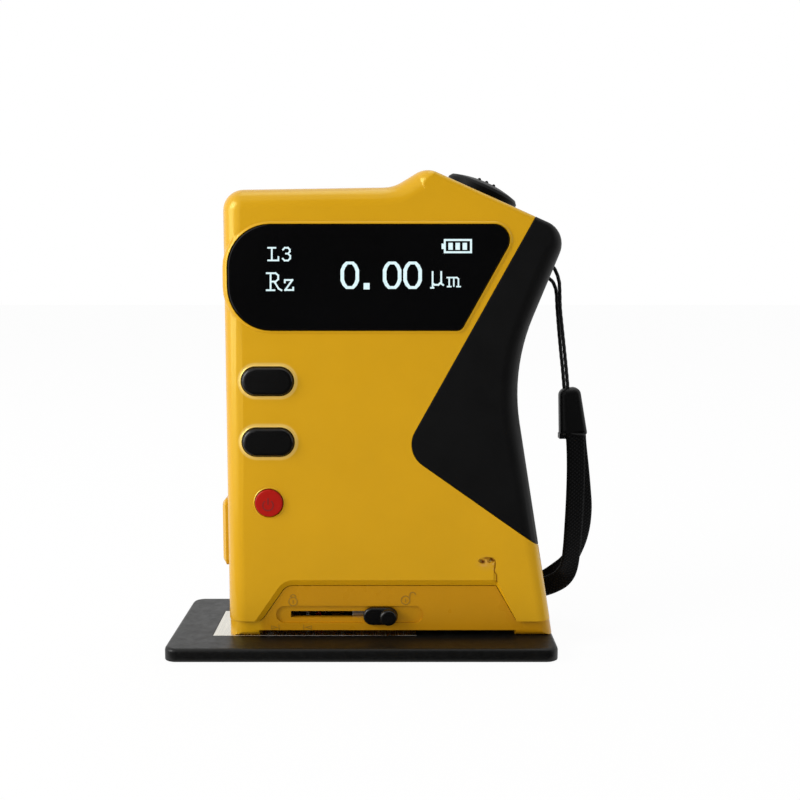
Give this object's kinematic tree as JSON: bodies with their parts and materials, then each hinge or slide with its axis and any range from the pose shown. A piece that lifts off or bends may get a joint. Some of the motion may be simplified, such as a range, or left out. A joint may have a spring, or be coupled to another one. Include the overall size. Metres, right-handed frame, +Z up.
{
  "type": "surface roughness tester",
  "caption": "Pocket surface roughness tester: moulded body with display, keys and start button on a sloping shoulder, rubber grip, wrist strap, drive and pickup inside, standing on its plate.",
  "frame": {"origin": "middle of the underside of the reference plate", "axes": "+Z up, +X to the right as seen from the front, the display looks towards -Y"},
  "size_m": [0.1018, 0.0406, 0.1109],
  "materials": {
    "yellow_shell": "glossy moulded",
    "grip_rubber": "satin",
    "window_black": "polished",
    "display_glass": "polished",
    "white_frame": "moulded",
    "black_plastic": "satin",
    "red_plastic": "glossy",
    "circuit_board": "solder mask",
    "switch_body": "moulded",
    "battery_foil": "satin",
    "steel": "bright",
    "drive_metal": "blasted",
    "brass_parts": "turned",
    "ruby": "polished",
    "diamond": "polished",
    "strap_cord": "braided",
    "strap_webbing": "woven",
    "plate_black": "satin moulded",
    "specimen_metal": "fine ground"
  },
  "bodies": {
    "tester": {"front_shell": "yellow_shell", "rear_shell": "yellow_shell", "bottom_cover": "yellow_shell", "grip": "grip_rubber", "display_window": "window_black", "display_glass": "display_glass", "display_holder": "white_frame", "strap_clasp": "black_plastic", "main_board": "circuit_board", "start_board": "circuit_board", "key_switches": "switch_body", "start_switch": "switch_body", "battery": "battery_foil", "charge_socket": "steel", "guide_rods": "steel", "case_screws": "steel", "base_screws": "steel", "board_screws": "steel", "drive_screws": "steel", "lanyard_bar": "steel", "drive_motor": "steel", "drive_frame": "drive_metal", "gearbox": "brass_parts", "strap_cord": "strap_cord", "strap_webbing": "strap_webbing", "reference_plate": "plate_black", "specimen": "specimen_metal"},
    "upper_key": {"upper_key": "black_plastic"},
    "lower_key": {"lower_key": "black_plastic"},
    "power_key": {"power_key": "red_plastic"},
    "start_button": {"start_button": "black_plastic"},
    "socket_cover": {"socket_cover": "yellow_shell"},
    "lock": {"lock_knob": "black_plastic", "lock_plate": "steel"},
    "screw": {"lead_screw": "steel"},
    "carriage": {"carriage": "black_plastic", "drive_nut": "brass_parts", "pickup": "steel", "skid": "ruby", "stylus_pin": "steel"},
    "stylus": {"stylus_arm": "steel", "stylus_tip": "diamond"}
  },
  "joints": [
    {"name": "upper_key_press", "type": "slide", "parent": "tester", "child": "upper_key", "axis": [0, 1, 0], "range_m": [0, 0.0005], "stiffness_N_per_m": 300, "springref_m": -0.0005},
    {"name": "lower_key_press", "type": "slide", "parent": "tester", "child": "lower_key", "axis": [0, 1, 0], "range_m": [0, 0.0005], "stiffness_N_per_m": 300, "springref_m": -0.0005},
    {"name": "power_key_press", "type": "slide", "parent": "tester", "child": "power_key", "axis": [0, 1, 0], "range_m": [0, 0.0005], "stiffness_N_per_m": 300, "springref_m": -0.0005},
    {"name": "start_press", "type": "slide", "parent": "tester", "child": "start_button", "axis": [-0.4046, 0, -0.9145], "range_m": [0, 0.0008], "stiffness_N_per_m": 400, "springref_m": -0.0008},
    {"name": "socket_cover_hinge", "type": "hinge", "parent": "tester", "child": "socket_cover", "pos_m": [-0.0324, 0.0058, 0.0266], "axis": [0, 0, -1], "range_deg": [0, 110]},
    {"name": "lock_slide", "type": "slide", "parent": "tester", "child": "lock", "axis": [1, 0, 0], "range_m": [-0.019, 0]},
    {"name": "traverse", "type": "slide", "parent": "tester", "child": "carriage", "axis": [1, 0, 0], "range_m": [-0.006, 0]},
    {"name": "screw_spin", "type": "hinge", "parent": "tester", "child": "screw", "pos_m": [0, 0.0002, 0.018], "axis": [1, 0, 0], "range_deg": [-2165, 5]},
    {"name": "stylus_pivot", "type": "hinge", "parent": "carriage", "child": "stylus", "pos_m": [-0.0068, 0.0002, 0.0102], "axis": [0, 1, 0], "range_deg": [0, 4]}
  ],
  "couplings": [
    {"joint": "screw_spin", "follows": "traverse", "rad_per_m": 6283.2}
  ]
}
